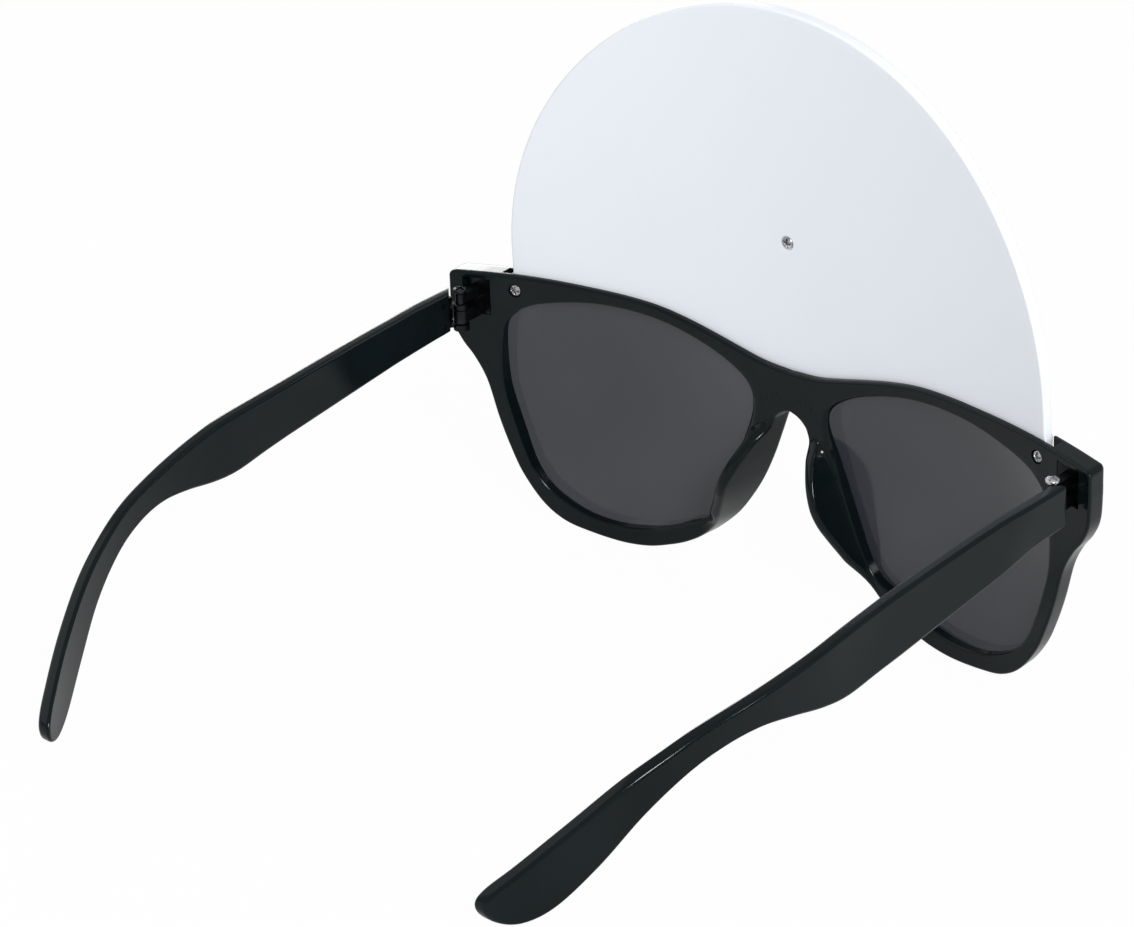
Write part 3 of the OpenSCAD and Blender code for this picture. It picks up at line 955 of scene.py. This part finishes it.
@dataclass
class Screw:
    """A small cross-head screw: its head is a shallow dome with a cross sunk into it.

    The cross's arms have half a width of arm and a length of reach, both shares of the head's radius, as
    are the width of their slopes and their depth. From rim outwards the head falls off by fall, in mm.
    """

    name: str
    head: float
    matrix: Matrix
    node: str
    finish: PlatedSteel
    body: str = "front"
    high: float = 0.4
    dome: float = 0.24
    shank: float = 0.6
    length: float = 3.0
    arm: float = 0.16
    reach: float = 0.74
    slope: float = 0.10
    sunk: float = 0.5
    rim: float = 0.88
    fall: float = 0.10

    def build(self) -> bpy.types.Object:
        """Lays the head as a depth over radius and angle.

        The dome stands dome * (1 - (r / head)^2) above the edge. The cross is sunk wherever a point is
        nearer to the middle than arm one way and reach the other way, with a slope at its border.
        """
        t = np.linspace(0, 2 * math.pi, 96, endpoint=False)
        r = np.append(np.linspace(0, self.rim, 22), [0.94, 0.98, 1.0]) * self.head
        rr, tt = np.meshgrid(r, t)
        x, y = rr * np.cos(tt), rr * np.sin(tt)
        arm, reach = self.arm * self.head, self.reach * self.head
        upright = np.maximum(np.abs(x) - arm, np.abs(y) - reach)
        level = np.maximum(np.abs(y) - arm, np.abs(x) - reach)
        cross = np.clip(0.5 - np.minimum(upright, level) / (self.slope * self.head), 0, 1)
        top = -self.dome * (1 - (rr / self.head)**2) + self.sunk * self.head * cross
        edge = np.clip((rr / self.head - self.rim) / (1 - self.rim), 0, 1)
        top = top + self.fall * edge**2
        tail = turned([(self.head, 0.4 * self.high), (0.72 * self.head, self.high), (self.shank, self.high),
                       (self.shank, self.length), (0, self.length)], 96)
        points = np.concatenate([np.stack([x, y, top], axis=-1), tail], axis=1)
        thing = Shell().add(moved(points, self.matrix), True).build(self.name, 1e-6)
        evened(thing, 55)
        self.finish.dress(thing, "plated_steel")
        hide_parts(self.node)
        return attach(thing, self.body)


@dataclass
class Temples:
    """The two temples: straight blades that droop, widen into a paddle and bend inwards.

    The edge is a side view of the outline and the spine its middle line, each point as the way back and z.
    Each row of pairs joins a place on the outline to one on the spine, with counts points from it to the
    next.
    """

    thick: float = 2.5
    cant: float = 0.09
    bend_start: float = 55.3
    bend_radius: float = 118.0
    round_edge: float = 0.7
    hinge_s: float = 3.95
    hinge_n: float = 3.1
    edge: Points = ((-4.05, -1.7), (12, -2.1), (33, -3.5), (54, -5.4), (64, -6.9), (76, -9.1), (85, -11.1),
                    (92, -13.6), (100, -17.3), (109, -23.3), (116, -28.6), (120.6, -32.3), (122, -35),
                    (120.6, -37.6), (117, -38.8), (112, -37), (105, -31.2), (97, -23.6), (89, -18.3),
                    (82, -15.8), (75, -15), (68, -15.8), (61, -17.1), (55, -17.4), (47, -16.2), (36, -14.7),
                    (15, -11.9), (4, -10.4), (-4.05, -9.9))
    spine: Points = ((-2.0, -5.8), (15, -7.0), (36, -9.0), (55, -11.2), (68, -11.6), (76, -12.1),
                     (84, -13.6), (92, -16.8), (100, -21.6), (108, -28.2), (114, -33.2))
    pairs: Points = ((-4.05, -1.7, -2, -5.8), (36, -3.7, 36, -9.0), (76, -9.1, 76, -12.1),
                     (100, -17.3, 100, -21.6), (116, -28.6, 114, -33.2), (122, -35, 114, -33.2),
                     (117, -38.8, 114, -33.2), (97, -23.6, 100, -21.6), (75, -15, 76, -12.1),
                     (36, -14.7, 36, -9.0), (-4.05, -9.9, -2, -5.8))
    counts: tuple = (30, 34, 34, 24, 26, 22, 30, 34, 34, 30, 16)
    rivet_z: tuple = (-3.9, -8.3)

    def bent(self, plane: Grid, inset: Grid) -> Grid:
        """Takes a side view of the blade to its own frame: outward, forward and up.

        From where the bend starts, a point at a distance in from the outer face lies on a circle of the
        bend's radius less that distance, so its outward place is the root of (R - inset)^2 - (s - s0)^2,
        less R. Between the hinge and the paddle the blade also leans, its top inwards.
        """
        s, z = plane[..., 0], plane[..., 1]
        mitre = 1.036 * inset * np.clip(1 - (s + 4.05) / 4, 0, 1)
        s = s + mitre
        past = np.maximum(s - self.bend_start, 0)
        outward = np.sqrt((self.bend_radius - inset)**2 - past**2) - self.bend_radius
        outward = outward - self.cant * np.interp(s, (5, 13, 42, 60), (0, 1, 1, 0)) * (z + 0.13 * s + 5)
        return np.stack([outward, -s, z], axis=-1)

    def frame(self, side: Side) -> Matrix:
        """The frame of a temple at rest, turned about its hinge. The left one's is mirrored."""
        flip = Matrix.Scale(side.value, 4, (1, 0, 0))
        return (G.matrix @ flip @ Matrix.Translation((G.hinge_x, -G.hinge_back, 0))
                @ Matrix.Rotation(math.radians(-side.value * G.swing), 4, "Z")
                @ Matrix.Translation((self.hinge_n, -self.hinge_s, 0)))

    def blade(self, side: Side) -> bpy.types.Object:
        """Lays a rounded section from the blade's middle line to its outline, and drills the rivet holes."""
        start = np.linspace(self.edge[-1], self.edge[0], 30)[1:-1]
        outline = np.vstack([spline(self.edge, 24), start])
        spine = spline(self.spine, 24)
        outer = paced(outline, [pair[:2] for pair in self.pairs], self.counts, closed=True)
        stops = [pair[2:] for pair in self.pairs[:5]]
        there = paced(spine, stops, self.counts[:4])
        back = paced(spine, stops, self.counts[9:5:-1])[::-1]
        tip = np.broadcast_to(spine[-1], (sum(self.counts[4:6]), 2))
        inner = np.vstack([there[:-1], tip, back[:-1], np.broadcast_to(spine[0], (self.counts[-1], 2))])
        section = Section.slab(0, self.thick, self.round_edge, flat=6)
        plane, depth = section.across(inner, outer)
        thing = wrapped(f"{side.word}_blade", moved(self.bent(plane, depth), self.frame(side)))
        holes = []
        for z in self.rivet_z:
            turn = Matrix.Translation((-self.thick, 0, z)) @ Matrix.Rotation(math.pi / 2, 4, "Y")
            holes.append(spun("hole", ((0, -1), (0.52, -1), (0.52, 2), (0, 2)), self.frame(side) @ turn, 24))
        evened(carved(thing, holes))
        BLACK.dress(thing, "black_plastic")
        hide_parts(f"{side.word}_temple")
        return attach(thing, f"{side.word}_arm")

    def build(self) -> list[bpy.types.Object]:
        """Makes both temples."""
        return [self.blade(side) for side in Side]


@dataclass
class Hardware:
    """All screws, and the finish of the hinge halves and rivets, which are the solids themselves."""

    plate: Plate

    def build(self) -> list[bpy.types.Object]:
        """Makes the screws, and dresses the hinges and rivets."""
        made = []
        for side in Side:
            spot = G.radial(side.value * self.plate.tab_x, self.plate.tab_z, 0.25)
            screw = Screw(f"{side.word}_cross_screw", 1.15, spot, f"{side.word}_plate_screw", STEEL)
            made.append(screw.build())
            pivot = (G.matrix @ Matrix.Translation((side.value * G.hinge_x, -G.hinge_back, -1.4))
                     @ Matrix.Rotation(math.pi, 4, "X"))
            # The left pivot screw takes the dark steel as painted shade, so it shows darker than the matching
            # right one.
            metal = DARK_STEEL_AND_SHADE if side is Side.LEFT else STEEL
            screw = Screw(f"{side.word}_pivot_screw", 1.35, pivot, f"{side.word}_hinge_screw", metal,
                          high=0.88, length=8.45)
            made.append(screw.build())
            for part in ("frame_hinge", "temple_hinge", "upper_rivet", "lower_rivet"):
                DARK_STEEL_AND_SHADE.dress(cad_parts[f"{side.word}_{part}"], "plated_steel")
        middle = self.plate.screw_frame() @ Matrix.Translation((0, 0, 0.05))
        made.append(Screw("middle_cross_screw", 1.15, middle, "centre_screw", STEEL, length=4).build())
        return made


# Studio


@dataclass
class Studio:
    """The camera, the pale floor and the soft lights.

    The spot is the camera's place in the glasses' frame. The surround's level is how bright it is as light
    and in gloss. The floor is matt in its tone, and bright by the shares to the camera, through a lens and
    in gloss.
    """

    azimuth: float = 40.575
    elevation: float = 27.0
    roll: float = -2.267
    spot: tuple = (458.845, -588.792, 361.577)
    lens: float = 144.31
    level: float = 0.47
    tone: float = 0.72
    shares: tuple = (0.975, 0.85, 0.1)

    def camera(self) -> None:
        """Aims the camera along its azimuth and elevation in the glasses' frame, rolls it and places it."""
        a, e, r = (math.radians(v) for v in (self.azimuth, self.elevation, self.roll))
        ahead = Vector((-math.sin(a) * math.cos(e), math.cos(a) * math.cos(e), -math.sin(e)))
        right = Vector((math.cos(a), math.sin(a), 0))
        up = right.cross(ahead)
        across = right * math.cos(r) + up * math.sin(r)
        upward = up * math.cos(r) - right * math.sin(r)
        turn = Matrix((across, upward, -ahead)).transposed().to_4x4()
        data = bpy.data.cameras.new("camera")
        data.lens, data.sensor_width, data.sensor_fit = self.lens, 36, "HORIZONTAL"
        data.clip_start, data.clip_end = 0.05, 30
        thing = bpy.data.objects.new("camera", data)
        thing.matrix_world = (Matrix.Translation(G.matrix @ Vector(self.spot))
                              @ Matrix.Rotation(G.tilt, 4, "X") @ turn)
        bpy.context.scene.collection.objects.link(thing)
        bpy.context.scene.camera = thing

    def light(self, name: str, where: tuple, size: tuple, power: float) -> None:
        """A soft light of a width and height, aimed at the middle of the glasses."""
        data = bpy.data.lights.new(name, "AREA")
        data.shape = "RECTANGLE"
        data.size, data.size_y = size
        data.energy = power
        thing = bpy.data.objects.new(name, data)
        thing.location = where
        thing.rotation_euler = (Vector((0, 0, 0.05)) - Vector(where)).to_track_quat("-Z", "Y").to_euler()
        bpy.context.scene.collection.objects.link(thing)

    def world(self) -> None:
        """A white surround, bright to the camera and through the lenses, which lights all sides evenly."""
        world = bpy.data.worlds.new("surround")
        world.use_nodes = True
        bpy.context.scene.world = world
        shader = Shader(world.node_tree)
        ray = shader.node("ShaderNodeLightPath")
        clear = ray.out("Is Camera Ray").larger(ray.out("Is Transmission Ray"))
        level = clear.larger(ray.out("Is Glossy Ray") * self.level).larger(self.level)
        shade = shader.node("ShaderNodeBackground", None, {"Color": (1.0, 1.0, 1.0), "Strength": level}).out()
        shader.finish(shade, "ShaderNodeOutputWorld")

    def floor(self) -> None:
        """A pale floor that keeps the object's shadow and shows nearly white."""
        corners = np.array([[[x, y, -0.0002] for y in (-6, 6)] for x in (-6, 6)], float)
        thing = Shell().add(corners).build("floor")
        made = bpy.data.materials.new("pale floor")
        made.use_nodes = True
        shader = Shader(made.node_tree)
        ray = shader.node("ShaderNodeLightPath")
        matt = shader.node("ShaderNodeBsdfDiffuse", None, {"Color": (self.tone,) * 3}).out()
        glow = shader.node("ShaderNodeEmission", None, {"Color": (1.0, 1.0, 1.0), "Strength": 1.0}).out()
        kinds = ("Is Camera Ray", "Is Transmission Ray", "Is Glossy Ray")
        seen, through, gloss = (ray.out(kind) * part for kind, part in zip(kinds, self.shares))
        share = seen.larger(through).larger(gloss)
        shader.finish(shader.node("ShaderNodeMixShader", None, {"Fac": share, 1: matt, 2: glow}).out())
        thing.data.materials.append(made)

    def build(self) -> None:
        """Makes the camera, the lights, the surround and the floor."""
        self.camera()
        self.light("key", (1.3, -0.9, 1.1), (0.4, 0.4), 24.0)
        self.light("fill", (-1.2, -0.6, 0.9), (1.2, 1.2), 3)
        self.light("back", (-1.15, 0.95, 0.5), (0.5, 0.4), 6)
        self.light("side", (1.4, 0.1, 0.3), (0.12, 0.5), 3)
        self.world()
        self.floor()
        bpy.context.scene.view_settings.view_transform = "Standard"


def corners(box: tuple) -> list[list[float]]:
    """A box's two corners as plain lists."""
    return [list(corner) for corner in box]


def main() -> None:
    """Builds every sub-assembly in order, and reports each piece."""
    logging.basicConfig(level=logging.INFO, format="%(name)s: %(message)s")
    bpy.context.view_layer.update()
    plate = Plate()
    made = [Front().build(plate), *Lenses().build(), *plate.build()]
    made += [*Temples().build(), *Hardware(plate).build()]
    for thing in made:
        LOG.info("%s: %d faces", thing.name, len(thing.data.polygons))
    Studio().build()
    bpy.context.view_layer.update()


if __name__ == "__main__":
    main()
